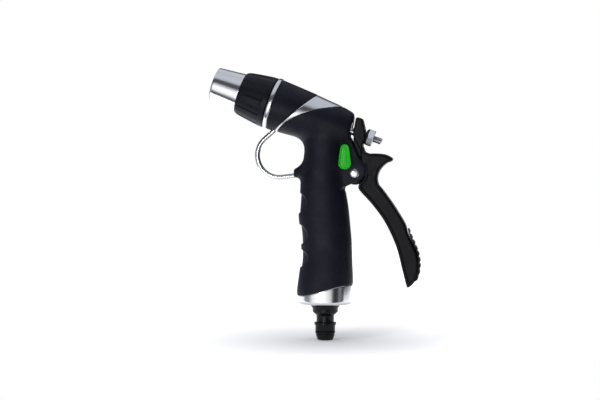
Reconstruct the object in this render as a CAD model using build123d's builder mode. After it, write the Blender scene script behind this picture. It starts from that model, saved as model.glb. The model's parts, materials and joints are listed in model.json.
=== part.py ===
"""Rear-trigger hose spray nozzle: a pistol-grip casting with rubber covers, a squeeze lever that pulls the
valve stem back, a screw collar that moves the spray tip, a side lock and a quick-connect hose inlet.

Frame: +Z up, +X the way the nozzle sprays, +Y its left-hand side. The origin is on the inlet's axis, at the
shoulder where a hose connector seats. Lengths are millimetres.
"""

import os
from math import cos, radians, sin

from build123d import *

# Driving dimensions
BARREL_TILT = 19.3  # the barrel's axis above the horizontal
AXIS_HEIGHT = 159.8  # where the barrel's axis crosses the handle's axis
COVER = 2.0  # rubber thickness over the casting
REAR_FACE = -21.0  # along the barrel, from where it crosses the handle's axis
HEAD_FRONT = 42.0
RING_FRONT = 45.4
PIVOT = (-23.9, 120.0)  # lever pin, as X and Z
LOCK = (-16.5, 127.8)  # lock shaft, as X and Z
EAR_IN, EAR_OUT, CHEEK = 4.9, 8.2, 9.4  # half widths of the slot, the ears and the rubber on them
LEVER_HALF, HUB_HALF = 8.6, 4.5
STEM_R = 2.8
PLAY = 0.1  # running clearance on a radius
GAP = 0.3  # clearance between bodies that must not touch
BASE_BOTTOM = 16.4
WIRE_R = 2.0
FLUTES, FLUTE_START = 10, 0.0
SIDE = 60.0  # longer than any half width

tilt = radians(BARREL_TILT)
AHEAD = (cos(tilt), 0, sin(tilt))
CROSSING = (0, 0, AXIS_HEIGHT)
BARREL = Plane(origin=CROSSING, x_dir=AHEAD, z_dir=(0, -1, 0))  # x along the barrel, y up from its axis
ALONG = Axis(CROSSING, AHEAD)
ACROSS = Plane(origin=CROSSING, x_dir=(-sin(tilt), 0, cos(tilt)), z_dir=AHEAD)  # square to the barrel
PROFILE = Plane.XZ  # side view, x ahead and y up
PIN = Plane(origin=(PIVOT[0], 0, PIVOT[1]), x_dir=(0, 1, 0), z_dir=(1, 0, 0))  # x along the lever's pin
LOCK_LINE = Plane(origin=(LOCK[0], 0, LOCK[1]), x_dir=(0, 1, 0), z_dir=(1, 0, 0))
FLAT_BOX = [(1.09, -2.5), (3.0, -2.5), (3.0, 2.5), (1.09, 2.5)]  # cut for the shaft's flat, ahead and across

# Handle stations: height, front, rear, half width
BASE = [(BASE_BOTTOM, 20.6, -20.2, 17.6), (19.0, 22.2, -21.6, 18.8), (36.0, 21.6, -22.0, 18.4)]
COLUMN = [
    (34.0, 21.6, -22.0, 18.5),
    (52.0, 18.0, -21.3, 17.4),
    (80.0, 19.6, -19.6, 16.4),
    (104.0, 19.4, -16.5, 15.7),
    (124.0, 18.6, -15.2, 15.4),
    (138.0, 16.5, -15.0, 15.2),
    (158.0, 16.5, -15.0, 14.8),
]
NECK = [(136.0, 16.0, -8.0, 12.5), (144.0, 19.0, -8.0, 13.2), (149.0, 25.5, -8.0, 14.0), (154.0, 37.0, -8.0, 14.6)]


def turned(plane, corners, mode=Mode.ADD):
    """Turns a half section, given as (distance along the plane's x, radius) corners, about that x axis."""
    with BuildSketch(plane) as section:
        with BuildLine():
            Polyline(*corners, close=True)
        make_face()
    revolve(section.sketch, axis=Axis(plane.origin, plane.x_dir), mode=mode)


def hole(plane, start, end, radius):
    """Removes a cylinder on the plane's x axis between two distances."""
    turned(plane, [(start, 0), (end, 0), (end, radius), (start, radius)], Mode.SUBTRACT)


def ring(plane, start, end, inner, outer):
    """Adds a plain ring on the plane's x axis."""
    turned(plane, [(start, inner), (end, inner), (end, outer), (start, outer)])


def o_ring(plane, at, middle, thickness):
    """Adds a rubber ring of round section on the plane's x axis."""
    with BuildSketch(plane) as section:
        with Locations((at, middle)):
            Circle(thickness / 2)
    revolve(section.sketch, axis=Axis(plane.origin, plane.x_dir))


def oval_column(stations, inset=0.0):
    """Lofts ovals up the handle's stations, all smaller by the inset."""
    ovals = []
    for height, front, rear, half_width in stations:
        with BuildSketch(Plane.XY.offset(height)) as oval:
            with Locations(((front + rear) / 2, 0)):
                Ellipse((front - rear) / 2 - inset, half_width - inset)
        ovals.append(oval.sketch.face())
    loft(ovals)


def plate(corners, near, far, mode=Mode.ADD):
    """Extrudes a side-view outline between two distances from the middle plane, on both sides."""
    for side in (1, -1):
        with BuildSketch(PROFILE.offset(side * near)) as outline:
            with BuildLine():
                Polyline(*corners, close=True)
            make_face()
        extrude(outline.sketch, amount=side * (far - near), mode=mode)


def disc(centre, radius, near, far, mode=Mode.ADD):
    """Extrudes a side-view circle between two distances from the middle plane, on both sides."""
    for side in (1, -1):
        with BuildSketch(PROFILE.offset(side * near)) as outline:
            with Locations(centre):
                Circle(radius)
        extrude(outline.sketch, amount=side * (far - near), mode=mode)


def keep(corners):
    """Keeps only what lies inside a side-view outline."""
    with BuildSketch(PROFILE) as outline:
        with BuildLine():
            Polyline(*corners, close=True)
        make_face()
    extrude(outline.sketch, amount=SIDE, both=True, mode=Mode.INTERSECT)


def saved(builder, name):
    """Labels a finished piece and writes its file."""
    builder.part.label = name
    export_step(builder.part, f"parts/{name}.step")


os.makedirs("parts", exist_ok=True)

# Outer shape of the head, as a half section along the barrel
HEAD = [(HEAD_FRONT, 20.5), (-8.0, 16.3), (-17.0, 14.4), (-19.8, 12.6), (REAR_FACE, 10.8)]
END_WALL = 1.5
EAR = [(-12.0, 147.0), (-20.6, 147.0), (-30.6, 122.6), (-29.5, 115.6), (-25.6, 112.9), (-21.4, 112.6)]
EAR_FOOT = [(-18.6, 110.3), (-12.0, 109.0)]
BOSS = (20.5, 118.4)
SLOT = [(-12.9, 106.0), (-12.9, 138.5), (-16.4, 144.0), (-19.7, 152.8), (-40.0, 152.8), (-40.0, 102.0)]

# Side-view regions that part the rubber from the bare metal
STRIPE_FRONT = [(56.5, 139.8), (-9.0, 193.1)]
STRIPE_REAR = [(40.0, 150.6), (34.0, 156.0), (20.2, 164.4), (2.1, 169.6), (-11.6, 171.6), (-30.0, 172.5)]
BASE_LINE = [(40.0, 22.5), (21.7, 23.1), (12.0, 24.0), (-8.5, 30.1), (-22.0, 32.2), (-40.0, 32.6)]

# Envelope of the metal under the rubber
with BuildPart() as core:
    turned(
        BARREL,
        [(HEAD_FRONT, 0), (HEAD_FRONT, 18.6), (-8, 14.4), (-17, 12.6), (REAR_FACE + END_WALL, 10.2)]
        + [(REAR_FACE + END_WALL, 0)],
    )
    oval_column(COLUMN, COVER)
    oval_column(BASE, COVER)
    oval_column(NECK, COVER)
    plate(EAR + EAR_FOOT, 0, EAR_OUT)

# Envelope of the finished outside
with BuildPart() as outside:
    turned(BARREL, [(HEAD_FRONT, 0), *HEAD, (REAR_FACE, 0)])
    oval_column(COLUMN)
    oval_column(BASE)
    oval_column(NECK)
    plate(EAR + EAR_FOOT, 0, CHEEK)
    with BuildSketch(Plane.YZ.offset(12)):
        with Locations((0, BOSS[1])):
            Ellipse(7.6, 7.6)
    with BuildSketch(Plane.YZ.offset(25)):
        with Locations((0, BOSS[1] + 0.6)):
            Ellipse(3.4, 3.4)
    loft()

# Wire guard round the trigger finger, its ends let into the casting
GUARD_CENTRE, GUARD_R = (36.6, 133.6), 17.4
GUARD_TOP, GUARD_BOTTOM = 50.0, -98.0  # angles where the bow meets its straight ends
UPPER_END, LOWER_END = 13.7, 20.5  # lengths of the straight ends


def on_bow(angle, run=0.0, turn=0.0):
    """A point on the guard's bow, or a run from there along the bow's tangent."""
    a = radians(angle)
    x = GUARD_CENTRE[0] + GUARD_R * cos(a)
    z = GUARD_CENTRE[1] + GUARD_R * sin(a)
    return x + run * cos(a + radians(turn)), z + run * sin(a + radians(turn))


with BuildPart() as finger_guard:
    with BuildLine(PROFILE) as bow:
        top = on_bow(GUARD_TOP, UPPER_END, 90)
        Line(top, on_bow(GUARD_TOP))
        CenterArc(GUARD_CENTRE, GUARD_R, GUARD_TOP, GUARD_BOTTOM - GUARD_TOP)
        Line(on_bow(GUARD_BOTTOM), on_bow(GUARD_BOTTOM, LOWER_END, -90))
    with BuildSketch(Plane(origin=bow.line @ 0, z_dir=bow.line % 0)):
        Circle(WIRE_R)
    sweep()
saved(finger_guard, "finger_guard")

CHAMBER_R = 9.6
SOCKET_R, SOCKET_TOP = 10.5, 33.0
PASSAGE = Plane(origin=(0, 0, 0), x_dir=(0, 0, 1), z_dir=(0, -1, 0))  # x up the handle

with BuildPart() as stripe:
    add(outside.part)
    keep([*STRIPE_FRONT, (-60.0, 200.0), *reversed(STRIPE_REAR)])
with BuildPart() as base:
    add(outside.part)
    keep([*BASE_LINE, (-40.0, 0.0), (40.0, 0.0)])

# Aluminium casting: head, handle tube, stripe, base and lever ears
with BuildPart() as body_casting:
    add(core.part)
    add(stripe.part)
    add(base.part)
    hole(BARREL, -12.0, 24.0, CHAMBER_R)
    hole(BARREL, 22.0, HEAD_FRONT, 14.0)
    hole(BARREL, REAR_FACE, -13.5, 8.0)
    hole(BARREL, REAR_FACE, 0.0, STEM_R + 0.4)
    hole(PASSAGE, BASE_BOTTOM - 1, SOCKET_TOP, SOCKET_R)
    hole(PASSAGE, SOCKET_TOP, AXIS_HEIGHT, 7.0)
    turned(PASSAGE, [(38.0, 0), (38.0, 7.0), (43.0, 10.8), (92.0, 10.8), (98.0, 7.0), (98.0, 0)], Mode.SUBTRACT)
    plate(SLOT, 0, EAR_IN, Mode.SUBTRACT)
    disc(PIVOT, 2.5, 0, SIDE, Mode.SUBTRACT)
    disc(LOCK, 2.0 + PLAY, 0, SIDE, Mode.SUBTRACT)
    add(finger_guard.part, mode=Mode.SUBTRACT)
saved(body_casting, "body_casting")

# Rubber on the barrel, between the trim ring and the stripe
with BuildPart() as head_cover:
    turned(BARREL, [(HEAD_FRONT, 0), *HEAD, (REAR_FACE, 0)])
    keep([*STRIPE_FRONT, (60.0, 230.0), (110.0, 200.0), (90.0, 130.0)])
    add(core.part, mode=Mode.SUBTRACT)
    add(finger_guard.part, mode=Mode.SUBTRACT)
saved(head_cover, "head_cover")

# Rubber on the handle, the back of the head and the ears
with BuildPart() as grip_cover:
    add(outside.part)
    keep([*BASE_LINE, (-60.0, 32.6), (-60.0, 172.5), *reversed(STRIPE_REAR), (60.0, 120.0), (60.0, 22.5)])
    add(core.part, mode=Mode.SUBTRACT)
    plate(SLOT, 0, EAR_IN, Mode.SUBTRACT)
    hole(BARREL, REAR_FACE - 1, REAR_FACE + END_WALL + 1, 8.4)
    disc(PIVOT, 3.0, 0, SIDE, Mode.SUBTRACT)
    disc(LOCK, 2.6, 0, SIDE, Mode.SUBTRACT)
    add(finger_guard.part, mode=Mode.SUBTRACT)
saved(grip_cover, "grip_cover")

# Bright ring that closes the head's front edge
with BuildPart() as trim_ring:
    turned(
        BARREL,
        [(HEAD_FRONT, 13.3), (HEAD_FRONT, 20.7), (HEAD_FRONT + 0.5, 21.0), (RING_FRONT - 0.5, 21.0)]
        + [(RING_FRONT, 20.5), (RING_FRONT, 13.3)],
    )
saved(trim_ring, "trim_ring")

# Threaded spigot: valve seat inside the head, screw thread outside it
SEAT, THREAD_R, BORE_R, SPIGOT_END = 13.0, 13.0, 10.5, 62.0
THREAD_PITCH, THREAD_DEPTH = 2.5, 0.6
with BuildPart() as front_spigot:
    turned(
        BARREL,
        [(SEAT, 5.6), (SEAT, 6.4), (SEAT + 1.2, 9.4), (24, 9.4), (24, 13.9), (41.8, 13.9), (41.8, THREAD_R)]
        + [(SPIGOT_END - 1, THREAD_R), (SPIGOT_END, THREAD_R - 1), (SPIGOT_END, BORE_R)]
        + [(18, BORE_R - 3), (18, 5.6)],
    )
    hole(BARREL, 27.0, SPIGOT_END, BORE_R)
    for turn in range(5):
        at = 48.0 + turn * THREAD_PITCH
        turned(
            BARREL,
            [(at - 0.7, THREAD_R + 1), (at, THREAD_R - THREAD_DEPTH), (at + 0.7, THREAD_R + 1)],
            Mode.SUBTRACT,
        )
saved(front_spigot, "front_spigot")

with BuildPart() as spigot_seal:
    ring(BARREL, 22.2, 23.9, 9.7, 13.7)
saved(spigot_seal, "spigot_seal")

# Stem gland at the back of the head
with BuildPart() as gland_nut:
    with BuildSketch(ACROSS.offset(REAR_FACE + 0.4)):
        RegularPolygon(7.6, 6)
        Circle(STEM_R + PLAY, mode=Mode.SUBTRACT)
    extrude(amount=3.2)
    with BuildSketch(ACROSS.offset(REAR_FACE + 3.6)):
        Circle(7.9)
        Circle(STEM_R + PLAY, mode=Mode.SUBTRACT)
    extrude(amount=2.2)
saved(gland_nut, "gland_nut")

with BuildPart() as gland_seal:
    o_ring(BARREL, REAR_FACE + 6.6, STEM_R + 1.05, 1.6)
saved(gland_seal, "gland_seal")

# Valve stem: threaded tail, spring collar, spray needle
STEM_TAIL, COLLAR_AT = -47.0, 8.0
with BuildPart() as valve_stem:
    turned(
        BARREL,
        [(STEM_TAIL, 0), (STEM_TAIL, 2.3), (STEM_TAIL + 0.5, STEM_R), (COLLAR_AT, STEM_R), (COLLAR_AT, 7.6)]
        + [(COLLAR_AT + 1.8, 7.6), (COLLAR_AT + 1.8, 3.0), (16.4, 3.0), (17.4, 2.2), (76.0, 2.2), (79.0, 1.2)]
        + [(79.6, 0)],
    )
    for turn in range(6):
        at = STEM_TAIL + 1.6 + turn * 1.0
        turned(BARREL, [(at - 0.35, STEM_R + 0.5), (at, STEM_R - 0.35), (at + 0.35, STEM_R + 0.5)], Mode.SUBTRACT)
saved(valve_stem, "valve_stem")

with BuildPart() as valve_washer:
    ring(BARREL, COLLAR_AT + 1.8, SEAT - 0.05, 3.0, 7.8)
saved(valve_washer, "valve_washer")

with BuildPart() as valve_nut:
    with BuildSketch(ACROSS.offset(SEAT - 0.05)):
        RegularPolygon(4.9, 6)
        Circle(3.0, mode=Mode.SUBTRACT)
    extrude(amount=3.0)
saved(valve_nut, "valve_nut")

# Return spring between the head's back wall and the stem's collar
SPRING_R, SPRING_WIRE, SPRING_TURNS = 6.2, 0.6, 6
SPRING_BACK, SPRING_FRONT = -11.2, COLLAR_AT - SPRING_WIRE - 0.1
with BuildPart() as return_spring:
    with BuildLine() as coil:
        span = SPRING_FRONT - SPRING_BACK
        foot = ALONG.position + ALONG.direction * SPRING_BACK
        Helix(span / SPRING_TURNS, span, SPRING_R, center=foot, direction=ALONG.direction)
    with BuildSketch(Plane(origin=coil.line @ 0, z_dir=coil.line % 0)):
        Circle(SPRING_WIRE)
    sweep(is_frenet=True)
saved(return_spring, "return_spring")

# Spray tip: bright sleeve with a tail that slides in the spigot
TIP_FRONT, TIP_BACK, MOUTH = 93.6, 50.0, 80.0
with BuildPart() as nozzle_tip:
    turned(
        BARREL,
        [(TIP_BACK, 8.8), (TIP_BACK, BORE_R - PLAY), (65.0, BORE_R - PLAY), (65.0, 13.0), (66.3, 16.2), (69.0, 16.2)]
        + [(69.0, 15.2), (71.6, 15.2), (TIP_FRONT - 1.0, 13.1), (TIP_FRONT - 0.3, 12.8), (TIP_FRONT, 12.1)]
        + [(TIP_FRONT, 11.7), (TIP_FRONT - 1.2, 11.0), (MOUTH - 3.5, 11.0), (MOUTH - 3.5, 8.8)],
    )
    turned(BARREL, [(54.0, BORE_R + 1), (54.0, 9.3), (56.4, 9.3), (56.4, BORE_R + 1)], Mode.SUBTRACT)
saved(nozzle_tip, "nozzle_tip")

with BuildPart() as tip_seal:
    o_ring(BARREL, 55.2, 9.82, 1.0)
saved(tip_seal, "tip_seal")

with BuildPart() as orifice_plate:
    turned(
        BARREL,
        [(MOUTH - 3.4, 3.4), (MOUTH - 3.4, 10.9), (MOUTH - 0.6, 10.9), (MOUTH - 0.6, 8.0), (MOUTH, 7.4), (MOUTH, 4.4)],
    )
saved(orifice_plate, "orifice_plate")

# Collar: rubber grip on a threaded nut that carries the tip
COLLAR_BACK = RING_FRONT + 0.6
with BuildPart() as collar_nut:
    ring(BARREL, COLLAR_BACK + 0.6, 64.8, THREAD_R + PLAY, 15.6)
saved(collar_nut, "collar_nut")

with BuildPart() as collar_grip:
    turned(
        BARREL,
        [(COLLAR_BACK, 15.6), (COLLAR_BACK, 19.9), (COLLAR_BACK + 0.6, 20.3), (COLLAR_BACK + 3.0, 20.2), (67.0, 17.6)]
        + [(69.6, 16.9), (71.0, 16.0), (71.4, 15.3), (69.2, 15.3), (69.2, 16.4), (65.0, 16.4), (65.0, 15.6)],
    )
    for flute in range(FLUTES):
        around = radians(FLUTE_START + flute * 360 / FLUTES)
        out = Vector(-sin(tilt) * cos(around), sin(around), cos(tilt) * cos(around))
        start = Vector(CROSSING) + Vector(AHEAD) * (COLLAR_BACK + 5.0) + out * 21.6
        with BuildSketch(Plane(origin=start, z_dir=Vector(AHEAD) - out * 0.145)):
            Circle(2.6)
        extrude(amount=30, mode=Mode.SUBTRACT)
saved(collar_grip, "collar_grip")

# Thrust washer and flow nut on the stem's tail, behind the lever
CROWN_R = 10.0  # rounding of the lever's arm where it pushes the washer
PUSH_AT = -33.4
with BuildPart() as thrust_washer:
    turned(
        BARREL,
        [(PUSH_AT, STEM_R + PLAY), (PUSH_AT, 4.6), (PUSH_AT - 1.2, 6.2), (PUSH_AT - 1.9, 6.4)]
        + [(PUSH_AT - 1.9, STEM_R + PLAY)],
    )
saved(thrust_washer, "thrust_washer")

with BuildPart() as flow_nut:
    with BuildSketch(ACROSS.offset(PUSH_AT - 7.1)):
        RegularPolygon(7.4, 6)
        Circle(STEM_R + 0.05, mode=Mode.SUBTRACT)
    extrude(amount=5.1)
saved(flow_nut, "flow_nut")

# Squeeze lever, as side-view outlines of three widths
HUB_R = 9.4


def round_pivot(radius, first, last, steps):
    """Points on a circle about the lever's pin, between two angles."""
    angles = [radians(first + (last - first) * step / steps) for step in range(steps + 1)]
    return [(PIVOT[0] + radius * cos(a), PIVOT[1] + radius * sin(a)) for a in angles]


def crown(first, last, steps):
    """Points on the lever arm's rounded pushing face, between two angles off the barrel's axis."""
    middle = PUSH_AT + CROWN_R
    x, z = middle * cos(tilt), AXIS_HEIGHT + middle * sin(tilt)
    angles = [tilt + radians(180 + first + (last - first) * step / steps) for step in range(steps + 1)]
    return [(x + CROWN_R * cos(a), z + CROWN_R * sin(a)) for a in angles]


HORN = [(-30.6, 136.9), (-32.4, 135.1), (-39.9, 135.2), (-46.6, 134.6), (-51.4, 132.6), (-53.3, 131.1)]
HORN += [(-52.5, 128.9), (-48.6, 127.5), (-43.8, 122.7), (-41.5, 117.0), (-42.0, 111.3)]
BACK = [(-45.7, 106.5), (-53.3, 96.1), (-61.0, 83.9), (-65.3, 75.7), (-70.0, 66.3), (-73.8, 57.8)]
BACK += [(-75.4, 48.8), (-74.4, 39.3), (-70.6, 33.5)]
FRONT = [(-65.9, 30.6), (-63.9, 32.5), (-61.1, 43.8), (-57.3, 59.0), (-53.4, 69.5), (-47.7, 80.9)]
FRONT += [(-42.0, 89.4), (-34.4, 98.9), (-28.6, 105.0)]
ARM_TOP = [(-24.2, 163.5), (-29.4, 162.3)]
ARM_FRONT = [(-22.4, 147.6), (-22.4, 151.2), (-23.4, 157.5), (-24.9, 160.2)]
NOTCH_R = 1.85
CHANNEL = [(-66.0, 37.5), (-70.0, 49.0), (-67.2, 57.5), (-63.0, 67.5), (-57.0, 79.5), (-48.5, 91.6), (-42.0, 99.8)]
CHANNEL += [(-37.0, 104.0), (-20.0, 92.0), (-40.0, 60.0), (-52.0, 30.0)]
PAD_HALF = 7.2
PAD_SEAT = [(-65.4, 75.6), (-64.0, 74.4), (-68.2, 65.6), (-71.8, 57.4), (-73.3, 48.8), (-72.4, 39.8), (-69.6, 34.8)]
PAD_BACK = [(-65.4, 75.6), (-70.0, 66.3), (-73.8, 57.8), (-75.4, 48.8), (-74.4, 39.3), (-71.4, 34.7)]
LEVER_SWING = 16.0

with BuildPart() as lever:
    plate([*BACK, *FRONT, *round_pivot(HUB_R, 248, 180, 9), (-32.6, 124.0), *HORN], 0, LEVER_HALF)
    plate([(-32.0, 126.0), (-24.2, 145.0), *ARM_FRONT, *ARM_TOP, *crown(-48, 45, 12), *HORN[:2]], 0, 7.4)
    plate(
        [*round_pivot(HUB_R, 258, 420, 24), (-22.4, 134.0), (-22.4, 147.6), (-30.0, 141.0), *HORN[:2], (-33.0, 112.0)],
        0,
        HUB_HALF,
    )
    plate(CHANNEL, 0, LEVER_HALF - 2.2, Mode.SUBTRACT)
    disc(PIVOT, 2.5 + PLAY, 0, SIDE, Mode.SUBTRACT)
    for swing in (0.0, LEVER_SWING):
        a = radians(-swing)
        x, z = LOCK[0] - PIVOT[0], LOCK[1] - PIVOT[1]
        notch = (PIVOT[0] + x * cos(a) - z * sin(a), PIVOT[1] + x * sin(a) + z * cos(a))
        disc(notch, NOTCH_R, 0, HUB_HALF + 1, Mode.SUBTRACT)
    plate([(-38.0, 144.2), (-18.0, 146.4), (-18.0, 157.4), (-38.0, 152.6)], 0, STEM_R + 0.5, Mode.SUBTRACT)
    plate([*PAD_SEAT, (-76.0, 30.0), (-90.0, 50.0), (-72.0, 82.0)], 0, PAD_HALF, Mode.SUBTRACT)
saved(lever, "lever")

# Ribbed pad let into the lever's back
with BuildPart() as lever_pad:
    plate([*PAD_SEAT, *reversed(PAD_BACK)], 0, PAD_HALF)
    for rib in range(9):
        share = (rib + 0.5) / 9
        z = PAD_BACK[0][1] + (PAD_BACK[-1][1] - PAD_BACK[0][1]) * share
        x = -66.6 - 9.2 * sin(radians(158 * share + 4)) - 1.6 * share
        disc((x - 0.9, z), 1.2, 0, PAD_HALF, Mode.SUBTRACT)
saved(lever_pad, "lever_pad")

# Hinge pin, headed on the left and held by a clip on the right
PIN_HEAD_R = 3.75
with BuildPart() as pivot_pin:
    turned(
        PIN,
        [(-11.0, 0), (-11.0, 2.1), (-10.6, 2.5), (-10.4, 2.5), (-10.4, 2.0), (-9.5, 2.0), (-9.5, 2.5), (9.4, 2.5)]
        + [(9.4, PIN_HEAD_R), (9.7, PIN_HEAD_R), (10.3, 2.9), (10.6, 1.6), (10.7, 0)],
    )
saved(pivot_pin, "pivot_pin")

with BuildPart() as pin_clip:
    ring(PIN, -10.3, -9.6, 2.0, 4.3)
saved(pin_clip, "pin_clip")

# Side lock: a shaft with a flat across the lever's edge, turned by a knob on each side
KNOB_IN, KNOB_OUT, SHAFT_END = 10.9, 13.8, 12.4
with BuildPart() as lock_shaft:
    ring_ends = [(-SHAFT_END, 0), (-SHAFT_END, 2.0), (-EAR_IN, 2.0), (-EAR_IN, 1.7), (EAR_IN, 1.7)]
    turned(LOCK_LINE, [*ring_ends, (EAR_IN, 2.0), (SHAFT_END, 2.0), (SHAFT_END, 0)])
    towards = (PIVOT[0] - LOCK[0], PIVOT[1] - LOCK[1])
    reach = (towards[0] ** 2 + towards[1] ** 2) ** 0.5
    step = (towards[0] / reach, towards[1] / reach)
    flat = [(LOCK[0] + step[0] * a - step[1] * b, LOCK[1] + step[1] * a + step[0] * b) for a, b in FLAT_BOX]
    plate(flat, 0, EAR_IN, Mode.SUBTRACT)
saved(lock_shaft, "lock_shaft")

KNOB = [(LOCK[0] - 4.9, 127.0), (LOCK[0] - 4.0, 124.8), (LOCK[0] - 2.2, 123.3), (LOCK[0], 122.9)]
KNOB += [(LOCK[0] + 2.2, 123.3), (LOCK[0] + 4.0, 124.8), (LOCK[0] + 4.9, 127.0), (LOCK[0] + 4.9, 129.0)]
KNOB += [(LOCK[0] + 3.4, 139.0), (LOCK[0] + 2.5, 141.2), (LOCK[0], 142.3), (LOCK[0] - 2.5, 141.2)]
KNOB += [(LOCK[0] - 3.4, 139.0), (LOCK[0] - 4.9, 129.0)]
DISH = [(LOCK[0] + (x - LOCK[0]) * 0.72, 131.6 + (z - 131.6) * 0.84) for x, z in KNOB]


def knob(side):
    """Adds one lock knob on the given side of the middle plane."""
    with BuildSketch(PROFILE.offset(-side * KNOB_IN)) as outline:
        with BuildLine():
            Polyline(*KNOB, close=True)
        make_face()
    extrude(outline.sketch, amount=-side * (KNOB_OUT - KNOB_IN))
    with BuildSketch(PROFILE.offset(-side * (CHEEK + GAP))) as boss:
        with Locations(LOCK):
            Circle(4.2)
    extrude(boss.sketch, amount=-side * (KNOB_IN - CHEEK - GAP))
    with BuildSketch(PROFILE.offset(-side * (KNOB_OUT - 0.8))) as dish:
        with BuildLine():
            Polyline(*DISH, close=True)
        make_face()
    extrude(dish.sketch, amount=-side * 2, mode=Mode.SUBTRACT)
    disc(LOCK, 2.0, 0, SHAFT_END, Mode.SUBTRACT)


with BuildPart() as lock_knob_left:
    knob(1)
saved(lock_knob_left, "lock_knob_left")

with BuildPart() as lock_knob_right:
    knob(-1)
saved(lock_knob_right, "lock_knob_right")

# Quick-connect hose inlet, screwed up into the base
NOSE_R, INLET_R, STUB_TOP = 7.85, 4.6, 31.0
with BuildPart() as hose_connector:
    turned(
        PASSAGE,
        [(-11.9, INLET_R), (-11.9, 6.2), (-8.2, 7.5), (-7.0, 7.5), (-7.0, 6.05), (-4.8, 6.05), (-4.8, NOSE_R)]
        + [(0, NOSE_R), (0, 8.7), (2, 8.7), (2, 7.0), (7.6, 7.0), (10.4, 10.2), (13.2, 10.2), (16.4, 12.6)]
        + [(16.4, SOCKET_R - PLAY), (STUB_TOP, SOCKET_R - PLAY), (STUB_TOP, 9.1), (29.4, 9.1), (29.4, 7.6)]
        + [(15.0, 7.6), (11.0, INLET_R)],
    )
saved(hose_connector, "hose_connector")

with BuildPart() as nose_o_ring:
    o_ring(PASSAGE, -5.9, 7.03, 1.95)
saved(nose_o_ring, "nose_o_ring")

with BuildPart() as inlet_washer:
    ring(PASSAGE, STUB_TOP + 0.05, SOCKET_TOP - 0.05, 7.3, 10.3)
saved(inlet_washer, "inlet_washer")

# Dirt strainer, a slotted cup hanging in the inlet
with BuildPart() as inlet_strainer:
    turned(
        PASSAGE,
        [(17.0, 0), (17.0, 6.0), (29.5, 6.6), (29.5, 9.0), (30.7, 9.0), (30.7, 5.8), (29.5, 5.8), (18.0, 5.2)]
        + [(18.0, 0)],
    )
    for level in range(5):
        with BuildSketch(Plane.XY.offset(19.2 + level * 2.0)):
            with PolarLocations(6.0, 12):
                Rectangle(2.4, 1.6)
        extrude(amount=1.2, mode=Mode.SUBTRACT)
saved(inlet_strainer, "inlet_strainer")
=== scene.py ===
"""Looks for the hose spray nozzle: rubber covers, satin casting, turned tip, painted lever and fittings.

Shapes are worked out in millimetres in the part's frame (+X ahead, +Z up) and stored in metres. The rubber
covers, casting, lever, pad and knobs are distance fields: a function that is negative inside the piece,
and whose zero surface is meshed by surface_net(). Turned pieces come from lathe().
"""

import json
import math
from functools import reduce

import bpy
import numpy as np
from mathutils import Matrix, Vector


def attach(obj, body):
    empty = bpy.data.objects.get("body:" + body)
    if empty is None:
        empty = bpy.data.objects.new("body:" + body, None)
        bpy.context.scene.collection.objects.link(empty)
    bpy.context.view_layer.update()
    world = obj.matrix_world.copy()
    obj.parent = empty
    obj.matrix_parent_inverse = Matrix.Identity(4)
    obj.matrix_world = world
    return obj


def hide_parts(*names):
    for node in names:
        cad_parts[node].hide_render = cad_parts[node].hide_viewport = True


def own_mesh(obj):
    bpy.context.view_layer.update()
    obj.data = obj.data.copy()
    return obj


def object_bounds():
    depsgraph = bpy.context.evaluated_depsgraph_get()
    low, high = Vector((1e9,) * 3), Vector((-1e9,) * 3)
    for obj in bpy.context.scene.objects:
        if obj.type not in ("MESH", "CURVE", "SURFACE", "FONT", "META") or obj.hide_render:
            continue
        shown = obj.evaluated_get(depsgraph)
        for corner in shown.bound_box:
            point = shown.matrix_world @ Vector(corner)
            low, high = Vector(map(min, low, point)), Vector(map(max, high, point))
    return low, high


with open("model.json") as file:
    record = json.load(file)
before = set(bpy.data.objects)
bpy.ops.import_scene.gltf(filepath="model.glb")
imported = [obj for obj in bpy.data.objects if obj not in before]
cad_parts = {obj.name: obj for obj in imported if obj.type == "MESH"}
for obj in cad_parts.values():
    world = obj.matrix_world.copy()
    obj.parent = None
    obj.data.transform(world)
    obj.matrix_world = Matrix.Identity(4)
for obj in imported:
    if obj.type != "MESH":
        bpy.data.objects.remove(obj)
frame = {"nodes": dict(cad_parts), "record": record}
cad_box = [list(corner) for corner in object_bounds()]

MM = 0.001
FULL_TURN = 2 * math.pi

# ---------------------------------------------------------------- places, from the record's joints
joints = {joint["name"]: joint for joint in frame["record"]["behaviour"]["joints"]}
AHEAD = -np.array(joints["stem_slide"]["axis"], float)  # along the barrel, the way it sprays
ABOVE = np.array([-AHEAD[2], 0.0, AHEAD[0]])
ACROSS = np.array([0.0, 1.0, 0.0])
FORWARD, UP = np.array([1.0, 0.0, 0.0]), np.array([0.0, 0.0, 1.0])
ON_BARREL = np.array(joints["collar_turn"]["pos_m"]) / MM
AXIS_HEIGHT = ON_BARREL[2] - ON_BARREL[0] * AHEAD[2] / AHEAD[0]
CROSSING = np.array([0.0, 0.0, AXIS_HEIGHT])  # where the barrel's axis crosses the handle's
PIVOT = np.array(joints["lever_pivot"]["pos_m"])[[0, 2]] / MM
LOCK = np.array(joints["lock_turn"]["pos_m"])[[0, 2]] / MM
LEVER_SWING = math.radians(joints["lever_pivot"]["range_deg"][1])

HEAD_FRONT, HEAD_REAR = 42.0, -21.6  # along the barrel from the crossing
COVER = 1.95  # rubber thickness
EAR_IN, CHEEK = 4.9, 9.4  # half widths of the lever's slot and of the rubber over the ears
BASE_BOTTOM = 16.4


# ---------------------------------------------------------------- field helpers
def either(*fields):
    """Negative inside any of the fields."""
    return reduce(np.minimum, fields)


def within(*fields):
    """Negative only inside all of the fields."""
    return reduce(np.maximum, fields)


def smooth_min(a, b, k):
    """Joins two fields with a fillet about k wide."""
    h = np.clip(0.5 + 0.5 * (b - a) / k, 0, 1)
    return b + (a - b) * h - k * h * (1 - h)


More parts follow.
